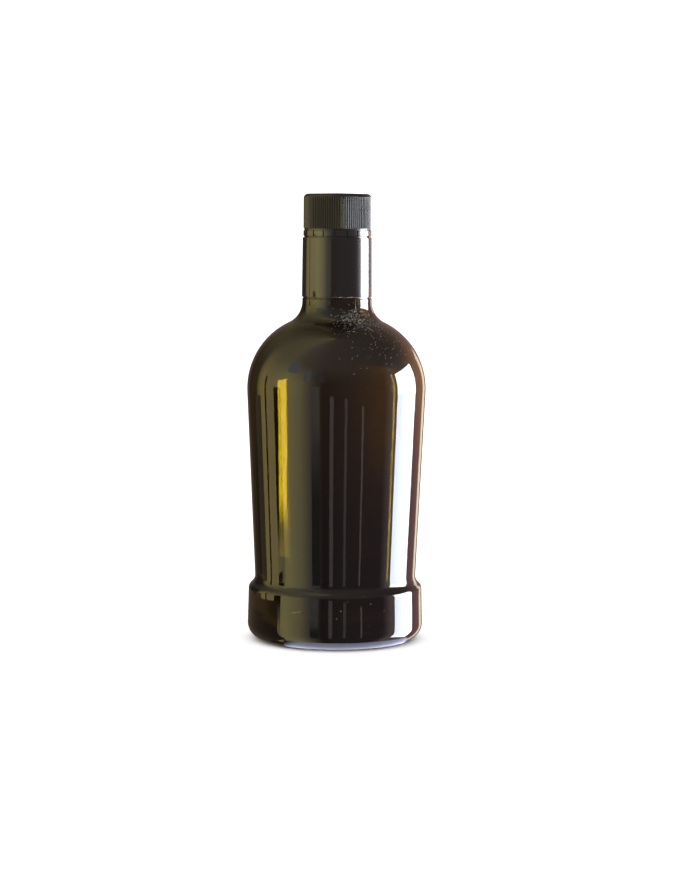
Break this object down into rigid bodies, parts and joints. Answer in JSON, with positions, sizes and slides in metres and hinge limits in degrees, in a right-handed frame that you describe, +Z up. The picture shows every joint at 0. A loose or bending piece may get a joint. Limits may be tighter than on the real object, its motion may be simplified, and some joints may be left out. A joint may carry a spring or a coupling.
{
  "type": "non-refillable bottle",
  "caption": "Squat round-shouldered bottle of near-black green glass on a stepped foot, shut by a black non-refillable screw closure with a long sleeve.",
  "frame": {"origin": "centre of the ring that the bottle stands on", "axes": "+Z up along the bottle's axis; the bottle is round, and -Y is the side seen from the front"},
  "size_m": [0.081, 0.081, 0.2022],
  "materials": {
    "bottle_glass": "blown antique green glass, so dark that it looks black where it is thick",
    "sleeve_plastic": "glossy moulded black",
    "band_plastic": "semi-gloss moulded black",
    "cap_plastic": "satin moulded black with fine upright ribs"
  },
  "bodies": {
    "root": {"bottle": "bottle_glass", "neck_sleeve": "sleeve_plastic", "tamper_band": "band_plastic", "screw_cap": "cap_plastic"}
  },
  "joints": []
}
